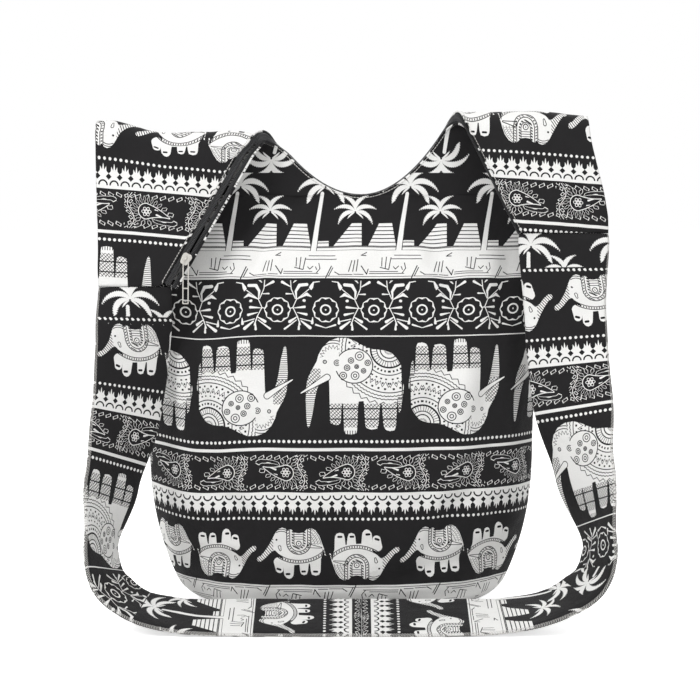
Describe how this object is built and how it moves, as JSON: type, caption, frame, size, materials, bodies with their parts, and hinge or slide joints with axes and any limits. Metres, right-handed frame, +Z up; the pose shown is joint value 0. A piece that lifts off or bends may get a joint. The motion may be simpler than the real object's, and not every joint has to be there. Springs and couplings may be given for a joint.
{
  "type": "sling hobo bag",
  "caption": "Soft zip-top cotton shoulder bag with wide folded shoulder arms and a long flat strap looped on the floor in front.",
  "frame": {"origin": "on the floor, under the middle of the whole piece, strap included", "axes": "+X to the right as seen from the front, +Y to the back, +Z up; the bag's front faces -Y"},
  "size_m": [0.4816, 0.23, 0.4677],
  "materials": {
    "printed_cotton": "plain-weave cotton printed in black on white, matte",
    "zip_tape": "woven polyester tape, matte",
    "nylon_coil": "nylon coil, satin",
    "nickel": "nickel plated, shiny"
  },
  "bodies": {
    "bag": {"front_panel": "printed_cotton", "back_panel": "printed_cotton", "strap_left": "printed_cotton", "strap_right": "printed_cotton", "zip_tape_front": "zip_tape", "zip_tape_back": "zip_tape", "zip_coil_front": "nylon_coil", "zip_coil_back": "nylon_coil"},
    "slider": {"zip_slider": "nickel"},
    "pull": {"zip_pull": "nickel"}
  },
  "joints": [
    {"name": "slider_slide", "type": "slide", "parent": "bag", "child": "slider", "axis": [0.4909, 0.1618, 0.856], "range_m": [0, 0.1]},
    {"name": "pull_swing", "type": "hinge", "parent": "slider", "child": "pull", "pos_m": [-0.15213, -0.01133, 0.33064], "axis": [-1, 0, 0], "range_deg": [0, 150]}
  ]
}
